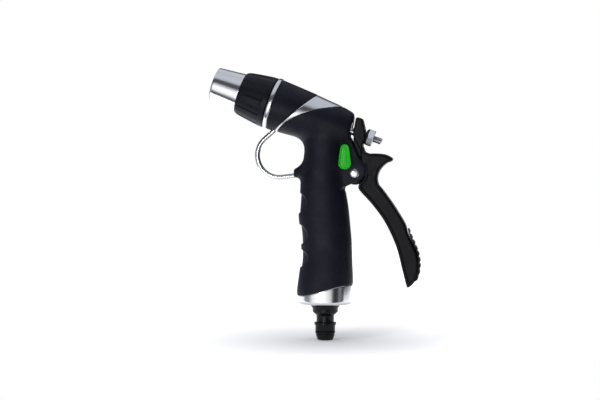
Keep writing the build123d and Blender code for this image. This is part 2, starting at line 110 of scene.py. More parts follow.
def smooth_max(a, b, k):
    """What lies inside both fields, with its edge rounded about k wide."""
    return -smooth_min(-a, -b, k)


def step_between(value, low, high):
    """0 below low, 1 above high, and an S curve between."""
    t = np.clip((value - low) / (high - low), 0, 1)
    return t * t * (3 - 2 * t)


def curve(points, closed=False, steps=8):
    """A Catmull-Rom curve through the points."""
    p = np.array(points, float)
    n = len(p)
    if closed:
        before, after, last = p[np.arange(n) - 1], p[(np.arange(n) + 1) % n], p[(np.arange(n) + 2) % n]
    else:
        padded = np.vstack([2 * p[0] - p[1], p, 2 * p[-1] - p[-2]])
        before, p, after, last = padded[:-3], padded[1:-2], padded[2:-1], padded[3:]
    t = np.linspace(0, 1, steps, endpoint=False)[None, :, None]
    a, b, c, d = (q[:, None, :] for q in (before, p, after, last))
    out = 0.5 * (2 * b + (c - a) * t + (2 * a - 5 * b + 4 * c - d) * t**2 + (3 * b - a - 3 * c + d) * t**3)
    out = out.reshape(-1, p.shape[1])
    return out if closed else np.vstack([out, points[-1]])


def table(points):
    """A smooth function through (place, value) points."""
    c = curve(points)
    return lambda at: np.interp(at, c[:, 0], c[:, 1])


def arc(centre, radius, start, stop, count):
    """Side-view points on an arc between two angles in degrees."""
    angles = np.radians(np.linspace(start, stop, count))
    return centre + radius * np.stack([np.cos(angles), np.sin(angles)], axis=1)


def outline(points):
    """Signed distance, in the side view, to a closed outline: negative inside."""
    p = np.asarray(points, float)
    q = np.roll(p, -1, axis=0)

    def distance(x, z):
        x, z = np.broadcast_arrays(x, z)
        nearest = np.full(x.shape, np.inf)
        inside = np.zeros(x.shape, bool)
        for (x0, z0), (x1, z1) in zip(p, q):
            dx, dz = x1 - x0, z1 - z0
            share = np.clip(((x - x0) * dx + (z - z0) * dz) / (dx * dx + dz * dz + 1e-12), 0, 1)
            nearest = np.minimum(nearest, (x - x0 - share * dx) ** 2 + (z - z0 - share * dz) ** 2)
            if z0 != z1:
                inside ^= ((z0 > z) != (z1 > z)) & (x < dx * (z - z0) / dz + x0)
        return np.where(inside, -1, 1) * np.sqrt(nearest)

    return distance


def barrel_places(x, z):
    """How far a side-view point is along the barrel and above its axis."""
    up = z - AXIS_HEIGHT
    return x * AHEAD[0] + up * AHEAD[2], up * AHEAD[0] - x * AHEAD[2]


# ---------------------------------------------------------------- meshing a field
LAYERS = 24  # grid layers worked out at a time
PASSES = 4  # corrections that bring the vertices on to the surface
PROBE = 0.03  # how far to each side a slope is measured
PAIRS = ((0, 0), (0, 1), (1, 0), (1, 1))
RING = ((1, 1), (0, 1), (0, 0), (1, 0))  # the four cells round a grid edge, in order


def sampled(field, xs, ys, zs):
    """The field at every grid point."""
    values = np.empty((len(xs), len(ys), len(zs)), np.float32)
    for start in range(0, len(xs), LAYERS):
        part = slice(start, start + LAYERS)
        values[part] = field(xs[part, None, None], ys[None, :, None], zs[None, None, :])
    return values


def cell_middles(values, cells):
    """For each cell, the mean of the places where the surface cuts its edges, in grid steps."""
    total, crossings = np.zeros((len(cells), 3)), np.zeros((len(cells), 1))
    for axis in range(3):
        one, two = [other for other in range(3) if other != axis]
        for i, j in PAIRS:
            start = cells.copy()
            start[:, one] += i
            start[:, two] += j
            stop = start.copy()
            stop[:, axis] += 1
            a, b = values[tuple(start.T)], values[tuple(stop.T)]
            cuts = ((a < 0) != (b < 0))[:, None]
            point = start.astype(float)
            point[:, axis] += np.where(cuts[:, 0], a / np.where(a == b, 1, a - b), 0)
            total += np.where(cuts, point, 0)
            crossings += cuts
    return total / crossings


def slopes(field, x, y, z):
    """The field's gradient at each point."""
    pairs = (
        (field(x + PROBE, y, z), field(x - PROBE, y, z)),
        (field(x, y + PROBE, z), field(x, y - PROBE, z)),
        (field(x, y, z + PROBE), field(x, y, z - PROBE)),
    )
    return np.stack([(more - less) / (2 * PROBE) for more, less in pairs], axis=1)


def surface_net(field, low, high, step):
    """Vertices and quads on a field's zero surface."""
    low = np.array(low, float)
    counts = np.ceil((np.array(high) - low) / step).astype(int) + 1
    values = sampled(field, *(low[i] + step * np.arange(counts[i]) for i in range(3)))
    inside = values < 0
    filled = np.zeros(counts - 1, np.int8)
    ends = [slice(None, -1), slice(1, None)]
    for i, j in PAIRS:
        for k in (0, 1):
            filled += inside[ends[i], ends[j], ends[k]]
    active = (filled > 0) & (filled < 8)
    cells = np.argwhere(active)
    number = np.full(active.shape, -1, np.int64)
    number[active] = np.arange(len(cells))
    points = low + step * cell_middles(values, cells)
    for _ in range(PASSES):
        slope = slopes(field, *points.T)
        steepness = np.maximum((slope**2).sum(1), 0.05)
        move = np.clip(field(*points.T) / steepness, -0.4 * step, 0.4 * step)
        points = points - slope * move[:, None]
    return points, np.concatenate([quads_across(inside, number, axis) for axis in range(3)])


def quads_across(inside, number, axis):
    """A quad for each grid edge along the axis that the surface cuts, through the four cells round it."""
    one, two = (axis + 1) % 3, (axis + 2) % 3
    nearer, further = [slice(1, -1)] * 3, [slice(1, -1)] * 3
    nearer[axis], further[axis] = slice(None, -1), slice(1, None)
    enters = inside[tuple(nearer)]
    cut = enters != inside[tuple(further)]
    edges = np.argwhere(cut)
    edges[:, one] += 1
    edges[:, two] += 1
    corners = []
    for i, j in RING:
        cell = edges.copy()
        cell[:, one] -= i
        cell[:, two] -= j
        corners.append(number[tuple(cell.T)])
    quads = np.stack(corners, axis=1)
    backward = ~enters[cut]
    quads[backward] = quads[backward][:, ::-1]
    return quads


# ---------------------------------------------------------------- mesh makers
def finish_piece(name, points, faces, material, body, stands_for, slot, angle=None):
    """Stores a mesh given in millimetres as an object that rides on a CAD body and replaces a CAD node."""
    mesh = bpy.data.meshes.new(name)
    corners = faces if isinstance(faces, list) else faces.tolist()
    mesh.from_pydata((np.asarray(points, float) * MM).tolist(), [], corners)
    mesh.validate()
    mesh.shade_smooth()
    if angle is not None:
        mesh.set_sharp_from_angle(angle=math.radians(angle))
    mesh.materials.append(material)
    piece = bpy.data.objects.new(name, mesh)
    bpy.context.scene.collection.objects.link(piece)
    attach(piece, body)
    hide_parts(stands_for)
    return piece


def rounded(profile, radius):
    """The closed profile with each corner rounded off."""
    p = np.array(profile, float)
    out = []
    for before, here, after in zip(np.roll(p, 1, 0), p, np.roll(p, -1, 0)):
        back, on = before - here, after - here
        back_length, on_length = np.linalg.norm(back), np.linalg.norm(on)
        r = min(radius, 0.45 * back_length, 0.45 * on_length)
        if r < 0.02 or here[1] < 0.05:
            out.append(here)
            continue
        start, stop = here + back / back_length * r, here + on / on_length * r
        out += [(1 - t) ** 2 * start + 2 * t * (1 - t) * here + t * t * stop for t in np.linspace(0, 1, 5)]
    return np.array(out)


def dense(profile, gap):
    """The closed profile with extra points, no two much further apart than the gap."""
    p = np.array(profile, float)
    out = []
    for a, b in zip(p, np.roll(p, -1, 0)):
        n = max(1, int(np.linalg.norm(b - a) / gap))
        out += [a + (b - a) * i / n for i in range(n)]
    return np.array(out)


def strip_faces(rows, n, closed):
    """Quads between neighbouring rings of n points, and from the last ring to the first if closed."""
    i, j = np.meshgrid(np.arange(rows if closed else rows - 1), np.arange(n), indexing="ij")
    i2, j2 = (i + 1) % rows, (j + 1) % n
    return np.stack([i * n + j, i * n + j2, i2 * n + j2, i2 * n + j], axis=-1).reshape(-1, 4)


def end_caps(rows, n):
    """Faces that close the first and last of the rings."""
    return [list(range(n))[::-1], [(rows - 1) * n + k for k in range(n)]]


def lathe(profile, origin, axis, up, segments=144, shape=None):
    """Turns a closed (along, radius) profile about an axis. shape() may change it by place and angle."""
    p = np.array(profile, float)
    phi = np.linspace(0, FULL_TURN, segments, endpoint=False)
    along = np.repeat(p[:, 0][:, None], segments, 1)
    radius = np.repeat(p[:, 1][:, None], segments, 1)
    around = np.repeat(phi[None, :], len(p), 0)
    if shape is not None:
        along, radius = shape(along, radius, around)
    radius = np.maximum(radius, 0.0)
    points = (
        origin
        + along[..., None] * axis
        + (radius * np.cos(around))[..., None] * up
        + (radius * np.sin(around))[..., None] * np.cross(axis, up)
    )
    return points.reshape(-1, 3), strip_faces(len(p), segments, closed=True)


def on_the_barrel(profile, **more):
    return lathe(profile, CROSSING, AHEAD, ABOVE, **more)


def on_the_inlet(profile, **more):
    return lathe(profile, np.zeros(3), UP, FORWARD, **more)


def on_the_pin(profile, **more):
    return lathe(profile, np.array([PIVOT[0], 0.0, PIVOT[1]]), ACROSS, UP, **more)


def tube(path, radius, segments=32):
    """A round wire of the given radius along a side-view path."""
    p = np.asarray(path, float)
    run = np.gradient(p, axis=0)
    run /= np.linalg.norm(run, axis=1)[:, None]
    normal = np.stack([-run[:, 1], run[:, 0]], axis=1)
    phi = np.linspace(0, FULL_TURN, segments, endpoint=False)
    x = p[:, 0][:, None] + radius * np.cos(phi) * normal[:, 0][:, None]
    z = p[:, 1][:, None] + radius * np.cos(phi) * normal[:, 1][:, None]
    y = np.repeat(radius * np.sin(phi)[None, :], len(p), 0)
    faces = strip_faces(len(p), segments, closed=False).tolist() + end_caps(len(p), segments)
    return np.stack([x, y, z], axis=-1).reshape(-1, 3), faces


# ---------------------------------------------------------------- materials
COLOUR_A, COLOUR_B, COLOUR_OUT = 6, 7, 2  # a Mix node's sockets for colours


class Nodes:
    """A node tree, with helpers that add and join its nodes."""

    def __init__(self, tree):
        self.tree = tree

    def add(self, kind, **values):
        node = self.tree.nodes.new(kind)
        for key, value in values.items():
            if key in node.inputs:
                node.inputs[key].default_value = value
            else:
                setattr(node, key, value)
        return node

    def feed(self, socket, value):
        """Gives a socket a number, a colour or another node's output."""
        if isinstance(value, bpy.types.NodeSocket):
            self.tree.links.new(value, socket)
        else:
            socket.default_value = (*value, 1) if isinstance(value, tuple) else value

    def calculate(self, operation, *sources):
        node = self.add("ShaderNodeMath", operation=operation)
        for socket, source in zip(node.inputs, sources):
            self.feed(socket, source)
        return node.outputs[0]

    def spread(self, value, low, high, start=0.3, stop=0.7):
        """Stretches a value's start..stop to low..high."""
        node = self.add("ShaderNodeMapRange")
        for name, limit in (("From Min", start), ("From Max", stop), ("To Min", low), ("To Max", high)):
            node.inputs[name].default_value = limit
        self.feed(node.inputs["Value"], value)
        return node.outputs["Result"]

    def mix(self, amount, a, b, blend="MIX"):
        """Blends two colours."""
        node = self.add("ShaderNodeMix", data_type="RGBA", blend_type=blend)
        self.feed(node.inputs["Factor"], amount)
        self.feed(node.inputs[COLOUR_A], a)
        self.feed(node.inputs[COLOUR_B], b)
        return node.outputs[COLOUR_OUT]


class Finish(Nodes):
    """A material's nodes, with its shader and the noises and bumps that every finish is made of."""

    def __init__(self, name):
        self.material = bpy.data.materials.new(name)
        self.material.use_nodes = True
        super().__init__(self.material.node_tree)
        self.shader = self.tree.nodes["Principled BSDF"]
        self.place = self.add("ShaderNodeTexCoord").outputs["Object"]

    def noise(self, scale, detail=4.0, roughness=0.55, stretch=None):
        """A grey noise. scale is per metre; stretch squeezes it along the part's axes."""
        node = self.add("ShaderNodeTexNoise", Scale=scale, Detail=detail, Roughness=roughness)
        source = self.place
        if stretch is not None:
            mapping = self.add("ShaderNodeMapping", Scale=stretch)
            self.feed(mapping.inputs["Vector"], self.place)
            source = mapping.outputs["Vector"]
        self.feed(node.inputs["Vector"], source)
        return node.outputs["Fac"]

    def bumps(self, *layers):
        """Stacks bump layers, each (height socket, strength, depth in metres)."""
        last = None
        for height, strength, depth in layers:
            node = self.add("ShaderNodeBump", Strength=strength, Distance=depth)
            self.feed(node.inputs["Height"], height)
            if last is not None:
                self.feed(node.inputs["Normal"], last)
            last = node.outputs["Normal"]
        self.feed(self.shader.inputs["Normal"], last)

    def edges(self, low, high):
        """1 on sharp outer edges, 0 elsewhere."""
        geometry = self.add("ShaderNodeNewGeometry")
        return self.spread(geometry.outputs["Pointiness"], 0.0, 1.0, low, high)

    def settings(self, **values):
        """Feeds the shader's sockets, named with _ for a space."""
        for key, value in values.items():
            self.feed(self.shader.inputs[key.replace("_", " ")], value)


def rubber(name, dark, light, rough=(0.42, 0.58), grain=2600.0):
    """Matte moulded rubber with a fine grain, faint mottling and dust."""
    n = Finish(name)
    mottled = n.mix(n.spread(n.noise(55.0), 0, 1), dark, light)
    dust = n.spread(n.noise(420.0, 6.0, 0.7), 0, 0.35, 0.5, 0.75)
    dusty = tuple(min(1, 1.5 * c + 0.004) for c in light)
    n.bumps((n.noise(grain, 2.0), 0.22, 0.00012), (n.noise(240.0, 3.0), 0.10, 0.0004))
    n.settings(
        Base_Color=n.mix(dust, mottled, dusty),
        Roughness=n.spread(n.noise(90.0, 5.0), *rough),
        Specular_IOR_Level=0.26,
        Specular_Tint=(0.85, 0.88, 1.0),
    )
    return n.material


def metal(name, colour, rough=(0.16, 0.26), lines=(1, 1, 1), grain=0.02, tint=0.93):
    """Bright metal with uneven polish, fine marks along stretched noise, and handling smears."""
    n = Finish(name)
    smears = n.noise(70.0, 5.0, 0.6)
    marks = n.noise(900.0, 3.0, 0.6, stretch=lines)
    n.bumps((marks, 0.06, 0.00003), (n.noise(160.0, 3.0), grain, 0.0003))
    n.settings(
        Base_Color=n.mix(n.spread(smears, 0, 1), colour, tuple(tint * c for c in colour)),
        Roughness=n.calculate("ADD", n.spread(smears, *rough), n.spread(marks, -0.03, 0.05)),
        Metallic=1.0,
    )
    return n.material


def plastic(name, dark, light, rough, coat=0.0, glow=0.0):
    """Moulded plastic with faint flow marks and an uneven gloss."""
    n = Finish(name)
    n.bumps((n.noise(1500.0, 2.0), 0.05, 0.0001), (n.noise(120.0, 2.0), 0.08, 0.0004))
    n.settings(
        Base_Color=n.mix(n.spread(n.noise(60.0), 0, 1), dark, light),
        Roughness=n.spread(n.noise(130.0, 5.0), *rough),
        Coat_Weight=coat,
        Coat_Roughness=0.12,
        Subsurface_Weight=glow,
        Specular_IOR_Level=0.2,
    )
    n.shader.inputs["Subsurface Radius"].default_value = (0.001, 0.002, 0.001)
    return n.material


def paint(name, dark, light, worn, rough=(0.3, 0.44)):
    """Satin coating on cast metal: orange peel, small scuffs and edges rubbed towards the metal."""
    n = Finish(name)
    scuffs = n.spread(n.noise(380.0, 6.0, 0.7), 0, 0.8, 0.5, 0.62)
    rubbed = n.calculate("MULTIPLY", n.edges(0.53, 0.62), scuffs)
    n.bumps((n.noise(1100.0, 3.0), 0.14, 0.00012), (n.noise(180.0, 3.0), 0.08, 0.0005))
    n.settings(
        Base_Color=n.mix(rubbed, n.mix(n.spread(n.noise(65.0), 0, 1), dark, light), worn),
        Roughness=n.spread(n.noise(150.0, 5.0), *rough),
        Specular_IOR_Level=0.16,
    )
    return n.material


soft_rubber = rubber("soft_touch_rubber", (0.004, 0.0044, 0.0085), (0.007, 0.0075, 0.014))
collar_rubber = rubber("collar_rubber", (0.003, 0.0034, 0.006), (0.006, 0.0065, 0.011), rough=(0.36, 0.5))
seal_rubber = rubber("nitrile_rubber", (0.003, 0.003, 0.0035), (0.006, 0.006, 0.007), rough=(0.28, 0.4))
pad_rubber = rubber(
    "pad_rubber", (0.003, 0.003, 0.0038), (0.006, 0.006, 0.0075), rough=(0.4, 0.55), grain=1800.0
)
casting_metal = metal("satin_casting", (0.80, 0.80, 0.81), rough=(0.12, 0.19))
trim_metal = metal("bright_trim", (0.86, 0.86, 0.87), rough=(0.10, 0.18))
tip_metal = metal(
    "turned_tip", (0.86, 0.86, 0.87), rough=(0.09, 0.15), lines=(1.0, 0.12, 0.6), grain=0.008
)
wire_metal = metal("plated_wire", (0.84, 0.84, 0.86), rough=(0.10, 0.2))
steel = metal("machined_steel", (0.72, 0.73, 0.75), rough=(0.16, 0.28), lines=(0.2, 1, 1))
spring_steel = metal("spring_steel", (0.55, 0.56, 0.58), rough=(0.22, 0.34))
brass = metal("machined_brass", (0.75, 0.58, 0.30), rough=(0.2, 0.32), tint=0.82)
lever_paint = paint(
    "lever_paint", (0.003, 0.003, 0.0038), (0.0055, 0.0055, 0.007), worn=(0.05, 0.05, 0.055)
)
lock_plastic = plastic(
    "lock_green", (0.008, 0.50, 0.006), (0.016, 0.62, 0.012), rough=(0.22, 0.34), coat=0.15, glow=0.05
)
black_plastic = plastic("black_plastic", (0.003, 0.003, 0.004), (0.006, 0.006, 0.0075), rough=(0.12, 0.2))
washer_plastic = plastic("washer_plastic", (0.010, 0.010, 0.011), (0.018, 0.018, 0.019), rough=(0.35, 0.5))
strainer_plastic = plastic("strainer_plastic", (0.62, 0.62, 0.6), (0.74, 0.74, 0.72), rough=(0.35, 0.5))

# ---------------------------------------------------------------- outer shape of the body
head_radius = table(
    [(-34, 9.5), (-21, 13.3), (-17.3, 14.4), (-8.2, 16.2), (3, 17.3), (14.3, 18.4), (26.3, 19.3)]
    + [(38.4, 20.1), (46, 20.6)]
)
grip_front = table(
    [(10, 22.3), (19, 22.3), (27, 22.3), (33, 21.7), (40, 20.7), (49, 19.5), (58, 19.0), (66, 19.3)]
    + [(78, 20.3), (86, 21.0), (95, 20.6), (106, 19.8), (116, 19.4), (124, 18.4), (131, 17.2)]
    + [(138, 16.5), (150, 16.5), (170, 16.5)]
)
grip_rear = table(
    [(10, -21.7), (33, -22.0), (50, -21.4), (66, -20.8), (78, -19.8), (92, -18.4), (102, -16.8)]
    + [(109, -15.6), (120, -15.0), (140, -15.0), (170, -15.0)]
)
grip_half = table(
    [(10, 18.7), (27, 18.8), (40, 18.2), (52, 17.5), (66, 16.9), (80, 16.5), (104, 15.8), (124, 15.4)]
    + [(140, 15.1), (170, 14.6)]
)
OVAL_POWER = 2.25  # 2 is an ellipse, and more is squarer
COLUMN_TOP = 157.0
BACK_LEAN = 0.10  # how far the head's back face leans, for each millimetre above the axis
SIDE_SLANT, BACK_SLANT, BOSS_SLANT = 0.995, 0.99, 0.9  # cosines that make slanted faces' fields true lengths
BACK_ROUND, BASE_ROUND, COLUMN_ROUND, CHEEK_ROUND = 3.0, 3.2, 4.0, 1.2
EAR_FILLET, BOSS_FILLET = 2.6, 4.0
THROAT_FILLET, THROAT_EXTRA, THROAT_HALF = 3.0, 6.0, 7.5  # where head and handle meet: larger in the middle
EAR = [(-8.0, 147.0), (-20.6, 147.0), (-30.6, 123.4), (-30.9, 119.0), (-29.6, 115.4), (-26.2, 112.9)]
EAR += [(-21.6, 111.9), (-18.4, 110.2), (-14.0, 108.6), (-8.0, 108.0)]
SLOT = [(-12.9, 106.0), (-12.9, 138.5), (-16.4, 144.0), (-19.7, 152.8), (-40.0, 152.8), (-40.0, 102.0)]
ear_outline, slot_outline = outline(EAR), outline(SLOT)

FINGERS = [(96.0, 8.6, 1.1), (71.5, 8.6, 1.5), (52.5, 7.6, 1.3)]  # each groove's height, half height, depth
FINGER_REACH = 9.5  # how far back a groove reaches from its centre
FINGER_SET = 2.0  # how far its centre is ahead of the grip
FINGER_EDGE, FINGER_DISH = 0.11, 0.25  # how soft its edge is, and how much deeper its middle

BOSS_BACK, BOSS_FRONT = 8.0, 24.8  # the cone that the wire's lower end goes into, as X
BOSS_RADII, BOSS_HEIGHTS = (9.4, 3.2), (124.0, 119.4)


def head_field(x, y, z):
    along, above = barrel_places(x, z)
    side = (np.hypot(above, y) - head_radius(along)) * SIDE_SLANT
    back = (HEAD_REAR + BACK_LEAN * above - along) * BACK_SLANT
    return within(smooth_max(side, back, BACK_ROUND), along - HEAD_FRONT)


def grip_field(x, y, z):
    front, rear, half = grip_front(z), grip_rear(z), grip_half(z)
    for height, tall, deep in FINGERS:
        inward = 1.0 - np.hypot((x - front - FINGER_SET) / FINGER_REACH, (z - height) / tall)
        front = front - deep * step_between(inward, 0.0, FINGER_EDGE) * (1.0 + FINGER_DISH * inward)
    middle, long = (front + rear) / 2, (front - rear) / 2
    u, v = (x - middle) / long, y / half
    oval = (np.abs(u) ** OVAL_POWER + np.abs(v) ** OVAL_POWER + 1e-9) ** (1 / OVAL_POWER)
    steepness = np.sqrt((u / long) ** 2 + (v / half) ** 2) / np.maximum(np.hypot(u, v), 1e-6)
    return smooth_max((oval - 1) / steepness, BASE_BOTTOM - z, BASE_ROUND)


def boss_field(x, y, z):
    share = np.clip((x - BOSS_BACK) / (BOSS_FRONT - BOSS_BACK), 0, 1)
    centre = BOSS_HEIGHTS[0] + (BOSS_HEIGHTS[1] - BOSS_HEIGHTS[0]) * share
    radius = BOSS_RADII[0] + (BOSS_RADII[1] - BOSS_RADII[0]) * share
    return within((np.hypot(y, z - centre) - radius) * BOSS_SLANT, x - BOSS_FRONT)


def hull(x, y, z):
    """The finished outside of head, handle, ears and boss."""
    throat = THROAT_FILLET + THROAT_EXTRA * np.exp(-((y / THROAT_HALF) ** 2)) * step_between(x, 0.0, 11.0)
    column = smooth_max(grip_field(x, y, z), z - COLUMN_TOP, COLUMN_ROUND)
    body = smooth_min(head_field(x, y, z), column, throat)
    ears = smooth_max(ear_outline(x, z), np.abs(y) - CHEEK, CHEEK_ROUND)
    body = smooth_min(smooth_min(body, ears, EAR_FILLET), boss_field(x, y, z), BOSS_FILLET)
    along, _ = barrel_places(x, z)
    return within(body, along - HEAD_FRONT)


# ---------------------------------------------------------------- regions of rubber and bare metal
STRIPE_FRONT = [(62.0, 135.3), (-9.0, 193.1)]
STRIPE_REAR = curve(
    [(46.0, 146.5), (40.0, 151.0), (34.0, 155.9), (29.4, 159.7), (20.2, 164.3), (11.2, 167.4), (2.1, 169.6)]
    + [(-4.7, 170.7), (-11.6, 171.5), (-30.0, 172.4)]
)
BASE_LINE = curve(
    [(40.0, 24.2), (24.0, 24.2), (14.0, 24.7), (6.0, 26.6), (-2.0, 28.9), (-10.0, 31.1), (-17.0, 32.2)]
    + [(-24.0, 32.4), (-40.0, 32.5)]
)
grip_region = outline([*BASE_LINE, (-60, 32.5), (-60, 172.4), *STRIPE_REAR[::-1], (70, 140), (70, 24.2)])
front_region = outline([*STRIPE_FRONT, (-9, 230), (120, 230), (120, 120)])
RUBBER_ROUND, HOLE_ROUND, BARE_ROUND, BORE_ROUND = 0.9, 0.5, 0.5, 0.3
BARE_DROP, SEAM = 0.12, 0.05  # how far bare metal lies below the rubber, and the gap at its edge


def cut_outs(x, y, z, pin, lock, gland):
    """What is taken out of covers and casting: lever slot, and holes of the given radii."""
    along, above = barrel_places(x, z)
    return either(
        within(slot_outline(x, z), np.abs(y) - EAR_IN),
        within(np.hypot(above, y) - gland, along + 13.5),
        np.hypot(x - PIVOT[0], z - PIVOT[1]) - pin,
        np.hypot(x - LOCK[0], z - LOCK[1]) - lock,
    )


def grip_cover_field(x, y, z):
    outside = hull(x, y, z)
    cover = within(smooth_max(outside, grip_region(x, z), RUBBER_ROUND), -(outside + COVER))
    return smooth_max(cover, -cut_outs(x, y, z, pin=3.0, lock=2.6, gland=8.4), HOLE_ROUND)


def head_cover_field(x, y, z):
    outside = hull(x, y, z)
    return within(smooth_max(outside, front_region(x, z), RUBBER_ROUND), -(outside + COVER))


def casting_field(x, y, z):
    """The metal: at the surface where it is bare, a cover's thickness down elsewhere, and hollow inside."""
    outside = hull(x, y, z)
    covered = either(grip_region(x, z), front_region(x, z))
    bare = smooth_max(outside + BARE_DROP, SEAM - covered, BARE_ROUND)
    along, above = barrel_places(x, z)
    off_barrel, off_handle = np.hypot(above, y), np.hypot(x, y)
    bores = either(
        within(off_barrel - 9.6, -12.0 - along, along - 24.0),  # chamber for the spring and valve
        within(off_barrel - 14.0, 22.0 - along),  # socket for the spigot
        within(off_barrel - 3.2, along + 10.0),  # stem hole
        within(off_handle - 10.5, z - 33.0),  # socket for the hose connector
        within(off_handle - 7.0, z - 155.0),  # water passage
        within(off_handle - 10.8, 41.0 - z, z - 94.0),  # wide part of the passage
        cut_outs(x, y, z, pin=2.5, lock=2.1, gland=8.0),
    )
    return smooth_max(either(bare, outside + COVER), -bores, BORE_ROUND)


FINE = 0.55
grip_mesh = surface_net(grip_cover_field, (-34, -21, 21), (47, 21, 176), FINE)
finish_piece("grip_rubber", *grip_mesh, soft_rubber, "body", "grip_cover", "soft_cover")
head_mesh = surface_net(head_cover_field, (6, -22, 146), (48, 22, 196), FINE)
finish_piece("head_rubber", *head_mesh, soft_rubber, "body", "head_cover", "soft_cover")
casting_mesh = surface_net(casting_field, (-33, -21, 15), (49, 21, 196), FINE)
finish_piece("casting", *casting_mesh, casting_metal, "body", "body_casting", "casting")

# ---------------------------------------------------------------- barrel fittings, as (along, radius)
BRIGHT_RING = [(HEAD_FRONT, 13.3), (HEAD_FRONT, 20.9), (43.7, 21.0), (45.4, 20.7), (45.4, 13.3)]
ring_mesh = on_the_barrel(rounded(BRIGHT_RING, 0.75))
finish_piece("bright_ring", *ring_mesh, trim_metal, "body", "trim_ring", "bright_trim")

FLUTES = 10
FLUTE_TURN = FULL_TURN / FLUTES
FLUTE_HALF_GAP = 0.5 * FLUTE_TURN * 19  # half the way round from one groove to the next
COLLAR_PROFILE = [(46.0, 15.6), (46.0, 19.7), (46.5, 20.25), (50.0, 20.15), (56.0, 19.35), (62.0, 18.5)]
COLLAR_PROFILE += [(67.4, 17.6), (69.2, 17.1), (70.6, 16.3), (71.3, 15.4), (69.3, 15.4), (69.3, 16.4)]
COLLAR_PROFILE += [(65.0, 16.4), (65.0, 15.6)]


def fluted(along, radius, around):
    """Cuts narrow lengthwise grooves into the collar's outside, each closed at the back."""
    off_groove = np.abs((around - math.pi / 2 + FLUTE_TURN / 2) % FLUTE_TURN - FLUTE_TURN / 2) * radius
    groove = 1.0 - step_between(off_groove, 0.35, 1.15)
    crown = 0.28 * (1 - (off_groove / FLUTE_HALF_GAP) ** 2)
    open_part = step_between(along, 50.2, 51.6) * step_between(radius, 16.6, 17.0) * (along > 46.3)
    return along, radius - open_part * (groove + crown)


collar_mesh = on_the_barrel(dense(rounded(COLLAR_PROFILE, 0.5), 0.5), segments=400, shape=fluted)
finish_piece("collar_rubber_grip", *collar_mesh, collar_rubber, "collar", "collar_grip", "soft_cover")

TIP = [(50.0, 8.8), (50.0, 10.4), (54.0, 10.4), (54.0, 9.3), (56.4, 9.3), (56.4, 10.4), (65.0, 10.4)]
TIP += [(65.0, 13.0), (66.3, 16.1), (69.0, 16.1), (69.0, 15.15), (72.0, 15.1), (82.0, 14.1)]
TIP += [(92.4, 13.15), (93.4, 12.75), (93.6, 12.1), (93.3, 11.5), (91.6, 11.0), (76.5, 11.0), (76.5, 8.8)]
tip_mesh = on_the_barrel(dense(rounded(TIP, 0.45), 1.0), segments=192)
finish_piece("spray_tip", *tip_mesh, tip_metal, "tip", "nozzle_tip", "tip_metal", angle=50)

ORIFICE = [(76.6, 3.4), (76.6, 10.9), (79.2, 10.9), (79.4, 8.2), (80.0, 7.6), (80.0, 4.4), (78.6, 3.4)]
orifice_mesh = on_the_barrel(rounded(ORIFICE, 0.3))
finish_piece("orifice", *orifice_mesh, brass, "tip", "orifice_plate", "brass", angle=40)

# Valve stem, with a fine screw thread on its tail
STEM_R, THREAD_PITCH, THREAD_DEPTH = 2.8, 1.0, 0.42
THREAD_START, THREAD_STEP, THREAD_POINTS = -46.4, 0.14, 104
stem_tail = [(-47.0, 0.0), (-47.0, 2.1), (-46.6, 2.75)]
stem_tail += [(THREAD_START + THREAD_STEP * i, STEM_R) for i in range(THREAD_POINTS)]
STEM_FRONT = [(-31.8, STEM_R), (8.0, STEM_R), (8.0, 7.6), (9.8, 7.6), (9.8, 3.0), (16.4, 3.0), (17.4, 2.2)]
STEM_FRONT += [(76.0, 2.2), (79.0, 1.2), (79.6, 0.0)]


def threaded(along, radius, around):
    turns = (along / THREAD_PITCH - around / FULL_TURN) % 1.0
    on_thread = step_between(along, -47.2, -46.4) * (1 - step_between(along, -33.0, -31.5)) * (radius > 2.5)
    return along, radius - on_thread * THREAD_DEPTH * np.abs(2 * turns - 1)


stem_mesh = on_the_barrel(stem_tail + STEM_FRONT, segments=96, shape=threaded)
finish_piece("stem", *stem_mesh, steel, "stem", "valve_stem", "steel", angle=60)

NUT_HALF_FLATS, NUT_INSIDE = 6.45, 4.5  # half the width across flats, and a radius between bore and outside
NUT = [(-40.5, 2.86), (-40.5, 5.9), (-39.8, 7.4), (-36.2, 7.4), (-35.4, 6.0), (-35.4, 2.86)]


def hexagonal(along, radius, around):
    """Trims a turned blank to a hexagon."""
    sixth = FULL_TURN / 6
    flats = NUT_HALF_FLATS / np.cos((around + sixth / 2) % sixth - sixth / 2)
    return along, np.where(radius > NUT_INSIDE, np.minimum(radius, flats), radius)


nut_mesh = on_the_barrel(dense(rounded(NUT, 0.2), 0.4), segments=240, shape=hexagonal)
finish_piece("nut", *nut_mesh, trim_metal, "nut", "flow_nut", "bright_trim", angle=25)

WASHER = [(-35.25, 2.9), (-35.25, 6.3), (-34.6, 6.3), (-33.45, 4.7), (-33.45, 2.9)]
washer_mesh = on_the_barrel(rounded(WASHER, 0.35))
finish_piece("washer", *washer_mesh, washer_plastic, "washer", "thrust_washer", "washer_plastic")

# ---------------------------------------------------------------- finger guard
GUARD_CENTRE, GUARD_R, WIRE_R = np.array([36.6, 133.6]), 17.4, 2.0
GUARD_TOP, GUARD_BOTTOM = 50, -98  # angles where the bow meets its straight ends
bow = list(arc(GUARD_CENTRE, GUARD_R, GUARD_TOP, GUARD_BOTTOM, 64))


def straight_on(points, length, steps):
    """Points that carry a path on in a straight line past its last point."""
    run = points[-1] - points[-2]
    run = run / np.linalg.norm(run)
    return [points[-1] + run * length * (i + 1) / steps for i in range(steps)]


guard_path = [*reversed(straight_on(bow[::-1], 13.7, 8)), *bow, *straight_on(bow, 20.5, 12)]
guard_mesh = tube(guard_path, WIRE_R, 40)
finish_piece("guard", *guard_mesh, wire_metal, "body", "finger_guard", "guard_wire", angle=60)

